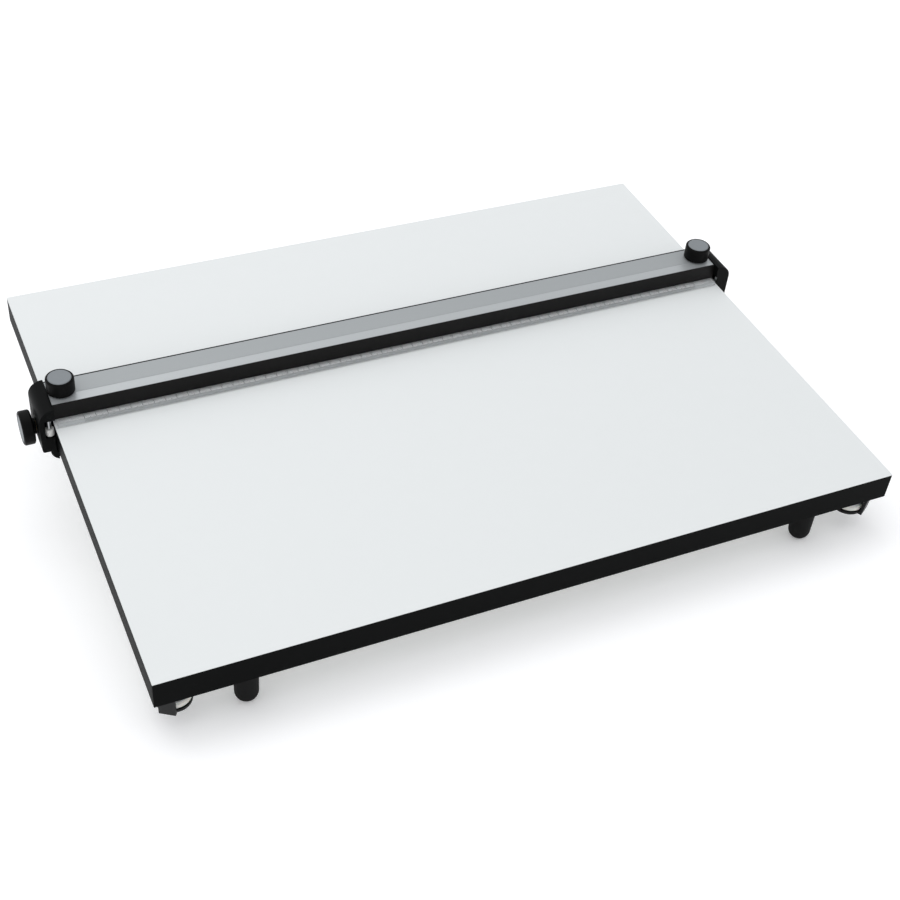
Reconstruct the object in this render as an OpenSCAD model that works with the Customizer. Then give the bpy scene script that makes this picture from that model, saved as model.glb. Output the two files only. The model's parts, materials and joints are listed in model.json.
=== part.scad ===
// Portable drawing board with a parallel-motion straightedge.
// Everything is laid out in the board's own frame: origin at the middle of the drawing
// surface, +X to the right, +Y to the back and +Z square to the surface. stand() then
// tips it up on its feet, with the whole object centred over the origin at table level.

/* [Board] */
// Width of the drawing surface
board_w = 650; // [600:10:800]
// Depth of the drawing surface
board_d = 480; // [440:10:600]
// Thickness of the board with its laminates
board_t = 26; // [22:1:30]
// Thickness of each laminate
laminate_t = 0.8; // [0.6:0.1:1.2]
// Thickness of the edging strips
edging_t = 2; // [1:0.5:3]
// Angle of the drawing surface to the table, in degrees
tilt = 10.7; // [8:0.1:14]

/* [Feet and legs] */
// Radius of a front foot and its domed end
foot_r = 9.5; // [8:0.5:12]
// Length of a front foot down to the middle of its dome
foot_shank = 26; // [24:1:34]
// Height that the rubber dome is squashed by the weight
foot_flat = 0.5; // [0.3:0.1:0.8]
// Sideways distance of a rear leg's pivot from the middle
leg_x = 210; // [180:5:230]
// Radius of a rear leg's tube
leg_r = 5; // [4:0.5:6]
// Angle that an open leg leans outwards, in degrees
leg_splay = 6; // [4:1:8]

/* [Straightedge] */
// Distance of the straightedge's front face behind the middle of the board
rule_y = 56.5; // [0:0.5:80]
// Height of the straightedge above the drawing surface
rule_h = 17.5; // [16:0.5:20]
// Depth of the straightedge from front to back
rule_d = 34.2; // [32:0.1:38]
// Length of the clear scale
scale_w = 646; // [560:2:646]
// Distance that the clear scale stands out in front
scale_out = 8.7; // [7:0.1:12]

/* [Carriages] */
// Thickness of the left carriage outside the board
left_out = 12.5; // [12.5:0.5:15]
// Thickness of the right carriage outside the board
right_out = 14; // [13.5:0.5:18]
// Radius of a top clamp knob
knob_r = 12; // [10:0.5:13]
// Height of a top clamp knob
knob_h = 14; // [12:0.5:16]
// Radius of the brake knob
brake_r = 15; // [13:0.5:16]
// Thickness of the brake knob
brake_h = 10; // [8:0.5:12]
// Radius of a guide roller
roller_r = 4; // [3.6:0.1:4.4]

/* [Wire and pulleys] */
// Radius of a pulley's flange
pulley_r = 14; // [13.8:0.1:14.2]
// Radius of the wire
wire_r = 0.6; // [0.4:0.1:0.7]
// Direction that a pulley bracket faces, in degrees from the board's width
bracket_turn = 58; // [50:1:64]

/* [Hidden] */
$fn = 64;

half_w = board_w / 2;
half_d = board_d / 2;
under = -board_t;
fit = 0.05;      // radial clearance of a running fit
bite = 12;       // depth that a wood screw bites into the board
past = 1;        // how far a cutter runs past the face that it opens

// feet and the way the board stands
foot_x = half_w - 73.5;
foot_y = -half_d + 13;
foot_mid = under - foot_shank;
foot_stud_r = 2.5;
foot_stud_head_r = 4;
foot_stud_in = 12;
brake_clear = 2.8;                         // the brake knob stands this far off the cheek
out_left = left_out + brake_clear + brake_h;   // reach of the brake knob past the board
shift_x = (out_left - right_out) / 2;
shift_y = -board_t / 2 * sin(tilt);
shift_z = foot_r - foot_flat - foot_y * sin(tilt) - foot_mid * cos(tilt);

// rear legs
leg_y = half_d - 45;
leg_drop = 12;
leg_pivot_z = under - leg_drop;
leg_len = (leg_y * sin(tilt) + leg_pivot_z * cos(tilt) + shift_z) / (cos(leg_splay) * cos(tilt));
pin_r = 2.5;
leg_screw_r = 1.8;
leg_plate_t = 2;
leg_screw_places = [for (x = [-13, 13], y = [-5, 5]) [x, y, leg_drop - leg_plate_t]];

// pulleys and brackets
pulley_x = half_w - 19.5;
pulley_y = half_d - 20.5;
plate_t = 2.5;
bracket_gap = 15.6;
washer_t = 0.8;
bracket_screw_r = 1.6;
bracket_reach = 18;
bracket_screw_places = [for (v = [-3.5, 3.5]) [-bracket_reach, v, under - plate_t]];
plate_z = under - plate_t - bracket_gap - plate_t;   // underside of a bracket
wire_z = under - plate_t - bracket_gap / 2;
groove_r = 12.5;
axle_r = 3;
thread_r = 2;
wire_gap = 0.3;   // the wire's play in a pulley's groove
wire_path_r = groove_r + wire_r + wire_gap;

// straightedge section, from its front face
cover_t = 1.5;
wall = 2;
back_lip = 1.5;
rule_top = rule_h - cover_t;
scale_z = 0.5;
scale_t = 2.7;
flange_z = scale_z + scale_t;
flange_d = 14;
rule_half = half_w - 1;
cover_front = 2.3;
scale_screw_r = 1.25;
scale_screw_places = [for (i = [-2:2]) [i * 145, rule_y + 10, scale_z]];

// carriages, measured from the board's edge and from the straightedge's front face
cheek_front = -5.5;
cheek_back = 36;
cheek_top = 18.3;
cheek_round = 12.5;
cheek_low = under;
cheek_wall = 4.2;
recess_top = 7;
recess_low = -11;
edge_gap = 0.8;
recess_web = 0.7;
under_gap = 2;
tongue_in = 28;
tongue_front = 4.3;
tongue_back = 30.6;
tongue_low = 5.6;
tongue_high = 13.9;
arm_front = 3.5;
arm_back = 29.5;
arm_in = 19;
arm_mid_y = (arm_front + arm_back) / 2;
wire_in = half_w - pulley_x - wire_path_r;     // wire's distance inside the board's edge
clamp_t = 5.5;

// knobs, brake and rollers
knob_in = 12.3;
knob_y = rule_y + 18.5;
stud_r = 3;
brake_y = rule_y + 16.5;
brake_z = -board_t / 2;
pad_gap = 0.9;
roller_h = 6.6;
roller_low = recess_low + 0.2;
roller_pin_r = 2;
roller_pin_low = recess_low - 6;
roller_pin_high = recess_top + 5;
roller_out = roller_r + 0.05;
roller_places = [rule_y - 0.5, rule_y + 31.5];

module stand() {
    translate([shift_x, shift_y, shift_z]) rotate([tilt, 0, 0]) children();
}

// above_table(): what is left of a rubber part above the table
module above_table() {
    difference() {
        stand() children();
        translate([-board_w, -board_d, -50]) cube([2 * board_w, 2 * board_d, 50]);
    }
}

module side(s) {
    if (s < 0) mirror([1, 0, 0]) children();
    else children();
}

module corner(sx, sy) {
    side(sx) {
        if (sy < 0) mirror([0, 1, 0]) children();
        else children();
    }
}

// box from one corner to the opposite one
module block(a, b) {
    translate(a) cube(b - a);
}

// along_x(): an outline in depth and height, run out along the width
module along_x(from, to) {
    translate([from, 0, 0]) rotate([90, 0, 90]) linear_extrude(to - from) children();
}

// along_y(): an outline in width and height, run out along the depth
module along_y(from, to) {
    translate([0, to, 0]) rotate([90, 0, 0]) linear_extrude(to - from) children();
}

// ---------- board ----------

module board_core() {
    color("burlywood") stand()
        block([-half_w + edging_t, -half_d + edging_t, under + laminate_t],
              [half_w - edging_t, half_d - edging_t, -laminate_t]);
}

module top_laminate() {
    color("whitesmoke") stand()
        block([-half_w, -half_d, -laminate_t], [half_w, half_d, 0]);
}

module bottom_laminate() {
    color("gainsboro") stand()
        block([-half_w + edging_t, -half_d + edging_t, under],
              [half_w - edging_t, half_d - edging_t, under + laminate_t]);
}

module long_edging(sy) {
    color([0.11, 0.12, 0.12]) stand() corner(1, sy)
        block([-half_w, half_d - edging_t, under], [half_w, half_d, -laminate_t]);
}

module short_edging(sx) {
    color([0.11, 0.12, 0.12]) stand() side(sx)
        block([half_w - edging_t, -half_d + edging_t, under],
              [half_w, half_d - edging_t, -laminate_t]);
}

module front_edging() { long_edging(-1); }
module back_edging() { long_edging(1); }
module left_edging() { short_edging(-1); }
module right_edging() { short_edging(1); }

// ---------- front feet ----------

module foot(sx) {
    color([0.09, 0.09, 0.09]) above_table() side(sx) translate([foot_x, foot_y, 0])
        difference() {
            union() {
                translate([0, 0, foot_mid]) cylinder(r = foot_r, h = foot_shank);
                translate([0, 0, foot_mid]) sphere(r = foot_r);
            }
            translate([0, 0, under - foot_stud_in]) cylinder(r = foot_stud_head_r, h = 3);
            translate([0, 0, under - foot_stud_in])
                cylinder(r = foot_stud_r, h = foot_stud_in + past);
        }
}

module left_foot() { foot(-1); }
module right_foot() { foot(1); }

// a headed stud moulded into each foot and screwed up into the board
module foot_studs() {
    color("silver") stand() for (sx = [-1, 1]) side(sx)
        translate([foot_x, foot_y, under - foot_stud_in]) {
            cylinder(r = foot_stud_head_r, h = 3);
            cylinder(r = foot_stud_r, h = foot_stud_in + bite);
        }
}

// ---------- pulleys under the corners ----------

// one corner's pulley stands at the origin here, and +X points at the bracket's riser
module at_pulley(sx, sy) {
    corner(sx, sy) translate([pulley_x, pulley_y, 0]) rotate([0, 0, bracket_turn]) children();
}

module bracket(sx, sy) {
    reach = bracket_reach;
    half = 6.5;
    color([0.1, 0.1, 0.1]) stand() at_pulley(sx, sy) difference() {
        union() {
            // lower plate, round under the pulley
            translate([0, 0, plate_z]) cylinder(r = pulley_r + 0.5, h = plate_t);
            block([0, -half, plate_z], [reach - 1.5, half, plate_z + plate_t]);
            // leaning riser
            along_y(-half, half) polygon([[reach - 1.5, plate_z], [reach, under],
                [reach - plate_t, under], [reach - 1.5 - plate_t, plate_z]]);
            // upper plate against the board
            block([-reach - 3, -half, under - plate_t], [reach - 0.2, half, under]);
        }
        translate([0, 0, plate_z - past]) cylinder(r = axle_r, h = plate_t + 2 * past);
        translate([0, 0, under - plate_t - past]) cylinder(r = thread_r, h = plate_t + 2 * past);
        for (place = bracket_screw_places) translate(place - [0, 0, past])
            cylinder(r = bracket_screw_r, h = plate_t + 2 * past);
    }
}

module front_left_bracket() { bracket(-1, -1); }
module front_right_bracket() { bracket(1, -1); }
module back_left_bracket() { bracket(-1, 1); }
module back_right_bracket() { bracket(1, 1); }

// round-headed wood screw, head down, its seat at the origin
module wood_screw(r, seat) {
    translate([0, 0, -0.8]) cylinder(r = 1.9 * r, h = 0.8);
    translate([0, 0, -1.8]) cylinder(r1 = 1.1 * r, r2 = 1.9 * r, h = 1);
    cylinder(r = r, h = seat + bite - r);
    translate([0, 0, seat + bite - r]) cylinder(r1 = r, r2 = 0.4, h = r);
}

module bracket_screws() {
    color("silver") stand() for (sx = [-1, 1], sy = [-1, 1]) at_pulley(sx, sy)
        for (place = bracket_screw_places) translate(place) wood_screw(bracket_screw_r, plate_t);
}

// shouldered axle screws: the shoulder stops on the upper plate, the thread bites the board
module pulley_axles() {
    color("silver") stand() for (sx = [-1, 1], sy = [-1, 1]) at_pulley(sx, sy) {
        translate([0, 0, plate_z - 2.2]) difference() {
            cylinder(r = 5, h = 2.2);
            block([-6, -0.6, -past], [6, 0.6, 0.9]);
        }
        translate([0, 0, plate_z]) cylinder(r = axle_r, h = plate_t + bracket_gap);
        translate([0, 0, under - plate_t]) cylinder(r = thread_r, h = plate_t + bite);
    }
}

module pulley_washers() {
    color("white") stand() for (sx = [-1, 1], sy = [-1, 1]) at_pulley(sx, sy)
        for (z = [plate_z + plate_t, under - plate_t - washer_t]) translate([0, 0, z])
            difference() {
                cylinder(r = 6, h = washer_t);
                translate([0, 0, -past]) cylinder(r = axle_r, h = washer_t + 2 * past);
            }
}

// grooved nylon pulley, lightened by five holes
module pulley(sx, sy) {
    half_t = bracket_gap / 2 - washer_t - 0.05;
    color("gainsboro") stand() at_pulley(sx, sy) translate([0, 0, wire_z]) difference() {
        rotate_extrude() polygon([[axle_r + fit, -half_t], [pulley_r - 0.8, -half_t],
            [pulley_r, -half_t + 0.8], [pulley_r, -2.6], [groove_r, -1.2], [groove_r, 1.2],
            [pulley_r, 2.6], [pulley_r, half_t - 0.8], [pulley_r - 0.8, half_t],
            [axle_r + fit, half_t]]);
        for (a = [0:72:359]) rotate([0, 0, a]) translate([8.2, 0, -half_t - past])
            cylinder(r = 1.9, h = 2 * (half_t + past));
    }
}

module front_left_pulley() { pulley(-1, -1); }
module front_right_pulley() { pulley(1, -1); }
module back_left_pulley() { pulley(-1, 1); }
module back_right_pulley() { pulley(1, 1); }

// ---------- the wire loop ----------
// It runs forwards down the left side, round the front left pulley, across to the back
// right one, forwards down the right side, round the front right pulley and across to the
// back left one, so that both sides move together. The two crossings bow apart.

cross_angle = atan2(pulley_y, pulley_x) + asin(wire_path_r / norm([pulley_x, pulley_y]));
bow = 0.8;

function on_pulley(x, y, a) = [x + wire_path_r * cos(a), y + wire_path_r * sin(a), wire_z];
function sweep(from, to, steps) = [for (i = [0:steps]) from + (to - from) * i / steps];
function mid_crossing(up) = [[0, 0, wire_z + up]];
wire_route = concat(
    [for (a = sweep(180, 270 + cross_angle, 12)) on_pulley(-pulley_x, -pulley_y, a)],
    mid_crossing(bow),
    [for (a = sweep(90 + cross_angle, 0, 12)) on_pulley(pulley_x, pulley_y, a)],
    [for (a = sweep(0, -90 - cross_angle, 12)) on_pulley(pulley_x, -pulley_y, a)],
    mid_crossing(-bow),
    [for (a = sweep(90 - cross_angle, 180, 12)) on_pulley(-pulley_x, pulley_y, a)]);

function unit(v) = v / norm(v);
function ring_at(i, n, sides) =
    let (before = wire_route[(i + n - 1) % n], here = wire_route[i],
         after = wire_route[(i + 1) % n],
         ahead = unit(unit(here - before) + unit(after - here)),
         across = unit(cross(ahead, [0, 0, 1])), up = cross(across, ahead))
    [for (k = [0:sides - 1]) let (a = 360 * k / sides)
        here + wire_r * (cos(a) * across + sin(a) * up)];

module wire_rope() {
    n = len(wire_route);
    sides = 8;
    points = [for (i = [0:n - 1]) each ring_at(i, n, sides)];
    faces = [for (i = [0:n - 1], k = [0:sides - 1])
        let (a = i * sides, b = ((i + 1) % n) * sides, m = (k + 1) % sides)
        [a + k, b + k, b + m, a + m]];
    color("lightgray") stand() polyhedron(points = points, faces = faces);
}

// ---------- rear legs ----------

// the right leg stands on +X and folds inwards about its pivot; the left one mirrors it
module at_leg(sx) {
    side(sx) translate([leg_x, leg_y, leg_pivot_z]) children();
}

module leg_bracket(sx) {
    plate = [17, 14];
    ear_t = 2.5;
    ear_r = 8;
    ear_places = [3 - plate.y, plate.y - 3 - ear_t];
    color([0.1, 0.1, 0.1]) stand() at_leg(sx) difference() {
        union() {
            block([-plate.x, -plate.y, leg_drop - leg_plate_t], [plate.x, plate.y, leg_drop]);
            for (y = ear_places) along_y(y, y + ear_t) {
                circle(r = ear_r);
                translate([-ear_r, 0]) square([2 * ear_r, leg_drop - leg_plate_t + 1]);
            }
        }
        along_y(-plate.y - past, plate.y + past) circle(r = pin_r);
        for (place = leg_screw_places) translate(place - [0, 0, past])
            cylinder(r = leg_screw_r, h = leg_plate_t + 2 * past);
    }
}

module left_leg_bracket() { leg_bracket(-1); }
module right_leg_bracket() { leg_bracket(1); }

module leg_bracket_screws() {
    color("silver") stand() for (sx = [-1, 1]) at_leg(sx)
        for (place = leg_screw_places) translate(place) wood_screw(leg_screw_r, leg_plate_t);
}

// riveted pivot pins with a head on each end
module leg_pivot_pins() {
    color("silver") stand() for (sx = [-1, 1]) at_leg(sx) {
        along_y(-11, 11) circle(r = pin_r);
        for (y = [-12.2, 11]) along_y(y, y + 1.2) circle(r = pin_r + 1.5);
    }
}

// leg: a flat-sided eye whose outer heel stops on the bracket, and a tube below it
module leg(sx) {
    eye_r = 9.5;
    eye_half = 8.2;
    heel_w = 6.5;
    color([0.12, 0.12, 0.12]) stand() at_leg(sx) difference() {
        union() {
            along_y(-eye_half, eye_half) {
                circle(r = eye_r);
                square([heel_w, eye_r]);
            }
            rotate([0, -leg_splay, 0]) translate([0, 0, -leg_len + 8])
                cylinder(r = leg_r, h = leg_len - 8);
        }
        along_y(-eye_half - past, eye_half + past) circle(r = pin_r + fit);
    }
}

module left_leg() { leg(-1); }
module right_leg() { leg(1); }

// rubber tip, moulded with a sole that lies flat on the table
module leg_tip(sx) {
    color([0.07, 0.07, 0.07]) above_table() at_leg(sx) rotate([0, -leg_splay, 0])
        difference() {
            translate([0, 0, -leg_len - 4]) cylinder(r = leg_r + 2.5, h = 24);
            translate([0, 0, -leg_len + 8]) cylinder(r = leg_r, h = 20);
        }
}

module left_leg_tip() { leg_tip(-1); }
module right_leg_tip() { leg_tip(1); }

// ---------- straightedge ----------

// extruded channel, open below, with a lip along each side of the inlaid cover
module rule_body() {
    inner_front = wall + 0.4;
    color([0.12, 0.12, 0.12]) stand() difference() {
        along_x(-rule_half, rule_half) translate([rule_y, 0]) polygon([
            [0, flange_z], [1.5, rule_h], [cover_front, rule_h], [cover_front, rule_top],
            [rule_d - back_lip, rule_top], [rule_d - back_lip, rule_h], [rule_d, rule_h],
            [rule_d, 1.2], [rule_d - wall, 1.2], [rule_d - wall, rule_top - wall],
            [inner_front + 1, rule_top - wall], [inner_front, flange_z + wall],
            [flange_d, flange_z + wall], [flange_d, flange_z]]);
        for (sx = [-1, 1]) translate([sx * (half_w - knob_in), knob_y, rule_top - wall - 1])
            cylinder(r = stud_r + 0.3, h = wall + 2);
        for (place = scale_screw_places) translate(place + [0, 0, scale_t - past])
            cylinder(r = scale_screw_r, h = wall + 2 * past);
    }
}

module rule_cover() {
    color([0.64, 0.66, 0.67]) stand() difference() {
        block([-rule_half, rule_y + cover_front, rule_top],
              [rule_half, rule_y + rule_d - back_lip, rule_h]);
        for (sx = [-1, 1]) translate([sx * (half_w - knob_in), knob_y, rule_top - 1])
            cylinder(r = stud_r + 0.3, h = cover_t + 2);
    }
}

// clear scale with a bevelled drawing edge
module clear_scale() {
    color([0.85, 0.9, 0.92, 0.5]) stand() difference() {
        along_x(-scale_w / 2, scale_w / 2) translate([rule_y, 0]) polygon([
            [-scale_out, scale_z], [-scale_out, scale_z + 0.7], [-scale_out + 2.6, flange_z],
            [flange_d, flange_z], [flange_d, scale_z]]);
        for (place = scale_screw_places) translate(place) {
            translate([0, 0, -past]) cylinder(r = scale_screw_r, h = scale_t + 2 * past);
            translate([0, 0, -0.01]) cylinder(r1 = 2.6, r2 = scale_screw_r, h = 1.36);
        }
    }
}

module scale_screws() {
    color("silver") stand() for (place = scale_screw_places) translate(place + [0, 0, 0.1]) {
        cylinder(r1 = 2.4, r2 = scale_screw_r, h = 1.25);
        cylinder(r = scale_screw_r, h = scale_t + wall - 0.2);
    }
}

// ---------- carriages ----------

// +X is outwards here, with the board's edge at the origin and Y from the rule's front
module at_edge(sx) {
    side(sx) translate([half_w, rule_y, 0]) children();
}

module cheek_outline(out) {
    inside = -0.7;
    difference() {
        intersection() {
            union() {
                translate([out - cheek_round, cheek_top - cheek_round]) circle(r = cheek_round);
                translate([inside, cheek_low])
                    square([out - cheek_round - inside, cheek_top - cheek_low]);
                translate([inside, cheek_low + 2])
                    square([out - inside, cheek_top - cheek_round - cheek_low - 2]);
                translate([inside, cheek_low]) square([out - 2 - inside, 4]);
                translate([out - 2, cheek_low + 2]) circle(r = 2);
                translate([-5, cheek_low]) circle(r = 11);
            }
            translate([inside, wire_z]) square([out + 2, cheek_top - wire_z]);
        }
        // room for the rollers, open at both ends
        translate([-1, recess_low]) square([out - cheek_wall + 1, recess_top - recess_low]);
        // the board's edge passes through here
        translate([-1, under - under_gap]) square([1 + edge_gap, tongue_low - under + under_gap]);
    }
}

// arm under the board, reaching in to the wire
module arm_plan() {
    r = 6;
    square_in = arm_in - r;
    translate([-square_in, arm_front]) square([square_in + 0.5, arm_back - arm_front]);
    translate([-arm_in, arm_front + r]) square([r + 1, arm_back - arm_front - 2 * r]);
    for (y = [arm_front + r, arm_back - r]) translate([-square_in, y]) circle(r = r);
}

spring_pocket_r = 3.7;
spring_pocket = [arm_mid_y - 9, arm_mid_y + 9];
clamp_screw_r = 1.75;
clamp_screw_in = 14.5;
clamp_screw_up = 6;
clamp_screw_y = [arm_mid_y - 7, arm_mid_y + 7];

// what the wire needs through the arm and its clamp plate
module wire_way(sx) {
    translate([-wire_in, 0, wire_z]) {
        along_y(arm_front - past, arm_back + past) circle(r = wire_r + 0.4);
        if (sx < 0) along_y(spring_pocket[0], spring_pocket[1]) circle(r = spring_pocket_r);
    }
}

// a thin web closes the right carriage's roller recess at the front
module recess_front(out) {
    lap = 0.5;
    along_y(cheek_front, cheek_front + recess_web) translate([edge_gap, recess_low - lap])
        square([out - cheek_wall - edge_gap + lap, recess_top - recess_low + 2 * lap]);
}

module carriage(sx, out) {
    color([0.13, 0.13, 0.14]) stand() at_edge(sx) difference() {
        union() {
            along_y(cheek_front, cheek_back) cheek_outline(out);
            if (sx > 0) recess_front(out);
            block([-tongue_in, tongue_front, tongue_low], [0, tongue_back, tongue_high]);
            translate([0, 0, wire_z]) linear_extrude(under - under_gap - wire_z) arm_plan();
        }
        wire_way(sx);
        translate([-knob_in, knob_y - rule_y, 0]) cylinder(r = 4.5, h = rule_top);
        for (y = clamp_screw_y) translate([-clamp_screw_in, y, wire_z - past])
            cylinder(r = clamp_screw_r, h = clamp_screw_up + 2 * past);
        for (y = roller_places) translate([roller_out, y - rule_y, roller_pin_low])
            cylinder(r = roller_pin_r, h = roller_pin_high - roller_pin_low);
        if (sx < 0) translate([0, brake_y - rule_y, brake_z]) {
            along_pin(0, out - cheek_wall) circle(r = 6.3);
            along_pin(0, out + 1) circle(r = 5);
        }
    }
}

// along_pin(): a round outline run outwards
module along_pin(from, to) {
    translate([from, 0, 0]) rotate([0, 90, 0]) linear_extrude(to - from) children();
}

module left_carriage() { carriage(-1, left_out); }
module right_carriage() { carriage(1, right_out); }

// threaded inserts that the clamp studs screw into
module clamp_inserts() {
    color("goldenrod") stand() for (sx = [-1, 1]) at_edge(sx)
        translate([-knob_in, knob_y - rule_y, tongue_low]) difference() {
            cylinder(r = 4.5, h = tongue_high - tongue_low);
            translate([0, 0, -1]) cylinder(r = stud_r + fit, h = 12);
        }
}

module roller_pins() {
    color("silver") stand() for (sx = [-1, 1], y = roller_places) at_edge(sx)
        translate([roller_out, y - rule_y, roller_pin_low])
            cylinder(r = roller_pin_r, h = roller_pin_high - roller_pin_low);
}

module roller(sx, i) {
    color("white") stand() at_edge(sx)
        translate([roller_out, roller_places[i] - rule_y, roller_low]) rotate_extrude()
            polygon([[roller_pin_r + fit, 0], [roller_r - 0.5, 0], [roller_r, 0.5],
                [roller_r, roller_h - 0.5], [roller_r - 0.5, roller_h],
                [roller_pin_r + fit, roller_h]]);
}

module left_front_roller() { roller(-1, 0); }
module left_back_roller() { roller(-1, 1); }
module right_front_roller() { roller(1, 0); }
module right_back_roller() { roller(1, 1); }

// plate that grips the wire against the arm
module wire_clamp(sx) {
    color([0.16, 0.16, 0.16]) stand() at_edge(sx) difference() {
        translate([0, 0, wire_z - clamp_t]) linear_extrude(clamp_t) arm_plan();
        wire_way(sx);
        for (y = clamp_screw_y) translate([-clamp_screw_in, y, wire_z - clamp_t - past])
            cylinder(r = clamp_screw_r, h = clamp_t + 2 * past);
    }
}

module left_wire_clamp() { wire_clamp(-1); }
module right_wire_clamp() { wire_clamp(1); }

module wire_clamp_screws() {
    head_h = 2.4;
    color("silver") stand() for (sx = [-1, 1], y = clamp_screw_y) at_edge(sx)
        translate([-clamp_screw_in, y, wire_z - clamp_t]) {
            translate([0, 0, -head_h]) difference() {
                cylinder(r = 3.2, h = head_h);
                translate([0, 0, -0.1]) cylinder(r = 1.6, h = 1.4, $fn = 6);
            }
            cylinder(r = clamp_screw_r, h = clamp_t + clamp_screw_up + 0.5);
        }
}

// compression spring round the wire that keeps the loop tight; it pushes the ferrule back
module tension_spring() {
    coils = 6;
    wire = 0.5;
    pitch = 1.9;
    color("silver") stand() at_edge(-1)
        translate([-wire_in, spring_pocket[0] + 0.6, wire_z]) rotate([-90, 0, 0])
            for (i = [0:coils - 1]) translate([0, 0, i * pitch])
                rotate_extrude() translate([2.8, 0]) circle(r = wire);
}

module wire_ferrule() {
    color("goldenrod") stand() at_edge(-1)
        translate([-wire_in, spring_pocket[1] - 6.2, wire_z]) rotate([-90, 0, 0])
            difference() {
                union() {
                    cylinder(r = 3.3, h = 1.2);
                    cylinder(r = 1.9, h = 6);
                }
                translate([0, 0, -1]) cylinder(r = wire_r + 0.4, h = 8);
            }
}

// ---------- top clamp knobs ----------

knob_z = rule_h + 0.6;
knob_cap_r = knob_r - 2;
knob_cap_t = 1.2;

module at_knob(sx) {
    at_edge(sx) translate([-knob_in, knob_y - rule_y, 0]) children();
}

module knob_shape(r, h, cap_r, cap_deep, foot_round) {
    rotate_extrude() difference() {
        polygon([[stud_r, 0], [r - foot_round, 0], [r, foot_round], [r, h - 1.2],
            [r - 1.2, h], [stud_r, h]]);
        translate([0, h - cap_deep]) square([cap_r, cap_deep + 1]);
    }
}

module clamp_knob(sx) {
    color([0.08, 0.08, 0.08]) stand() at_knob(sx) translate([0, 0, knob_z]) difference() {
        union() {
            knob_shape(knob_r, knob_h, knob_cap_r, 1, 0.8);
            cylinder(r = stud_r + 1, h = knob_h - 1);
            translate([0, 0, -0.6]) cylinder(r = 7, h = 0.7);
        }
        translate([0, 0, -1]) cylinder(r = stud_r, h = knob_h - 1);
    }
}

module clamp_cap(sx) {
    color([0.55, 0.57, 0.58]) stand() at_knob(sx)
        translate([0, 0, knob_z + knob_h - 1]) cylinder(r = knob_cap_r, h = knob_cap_t);
}

module clamp_stud(sx) {
    color("silver") stand() at_knob(sx) translate([0, 0, tongue_low + 0.5])
        cylinder(r = stud_r, h = knob_z + knob_h - 2 - tongue_low - 0.5);
}

module left_clamp_knob() { clamp_knob(-1); }
module left_clamp_cap() { clamp_cap(-1); }
module left_clamp_stud() { clamp_stud(-1); }
module right_clamp_knob() { clamp_knob(1); }
module right_clamp_cap() { clamp_cap(1); }
module right_clamp_stud() { clamp_stud(1); }

// ---------- brake on the left carriage ----------

// the brake's axis points out of the board's left edge here
module at_brake() {
    at_edge(-1) translate([0, brake_y - rule_y, brake_z]) rotate([0, 90, 0]) children();
}

brake_cap_r = 12.2;
pad_t = 3.4;
holder_t = 3.6;
brake_face = left_out + brake_clear;

module brake_bush() {
    color("goldenrod") stand() at_brake() difference() {
        translate([0, 0, left_out - cheek_wall]) cylinder(r = 5, h = cheek_wall);
        cylinder(r = stud_r + fit, h = left_out + 1);
    }
}

module brake_knob() {
    color([0.08, 0.08, 0.08]) stand() at_brake() translate([0, 0, brake_face]) difference() {
        union() {
            knob_shape(brake_r, brake_h, brake_cap_r, 1, 1.2);
            cylinder(r = stud_r + 1, h = brake_h - 1);
            translate([0, 0, 0.4 - brake_clear]) cylinder(r = 7, h = brake_clear);
        }
        translate([0, 0, -brake_clear]) cylinder(r = stud_r, h = brake_h + brake_clear - 2);
    }
}

module brake_cap() {
    color([0.55, 0.57, 0.58]) stand() at_brake()
        translate([0, 0, brake_face + brake_h - 1]) cylinder(r = brake_cap_r, h = 1);
}

module brake_stud() {
    seat = pad_gap + pad_t + holder_t;
    color("silver") stand() at_brake() translate([0, 0, seat + 0.05])
        cylinder(r = stud_r, h = brake_face + brake_h - 2 - seat - 0.05);
}

module brake_pad() {
    color("saddlebrown") stand() at_brake() translate([0, 0, pad_gap])
        cylinder(r = 6, h = pad_t);
}

module brake_pad_holder() {
    color("dimgray") stand() at_brake() translate([0, 0, pad_gap + pad_t])
        cylinder(r = 6, h = holder_t);
}

board_core();
top_laminate();
bottom_laminate();
front_edging();
back_edging();
left_edging();
right_edging();
left_foot();
right_foot();
foot_studs();
front_left_bracket();
front_right_bracket();
back_left_bracket();
back_right_bracket();
bracket_screws();
pulley_axles();
pulley_washers();
front_left_pulley();
front_right_pulley();
back_left_pulley();
back_right_pulley();
wire_rope();
left_leg_bracket();
right_leg_bracket();
leg_bracket_screws();
leg_pivot_pins();
left_leg();
right_leg();
left_leg_tip();
right_leg_tip();
rule_body();
rule_cover();
clear_scale();
scale_screws();
left_carriage();
right_carriage();
clamp_inserts();
roller_pins();
left_front_roller();
left_back_roller();
right_front_roller();
right_back_roller();
left_wire_clamp();
right_wire_clamp();
wire_clamp_screws();
tension_spring();
wire_ferrule();
left_clamp_knob();
left_clamp_cap();
left_clamp_stud();
right_clamp_knob();
right_clamp_cap();
right_clamp_stud();
brake_bush();
brake_knob();
brake_cap();
brake_stud();
brake_pad();
brake_pad_holder();
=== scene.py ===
import json
import math

import bmesh
import bpy
from mathutils import Matrix, Vector


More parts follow.
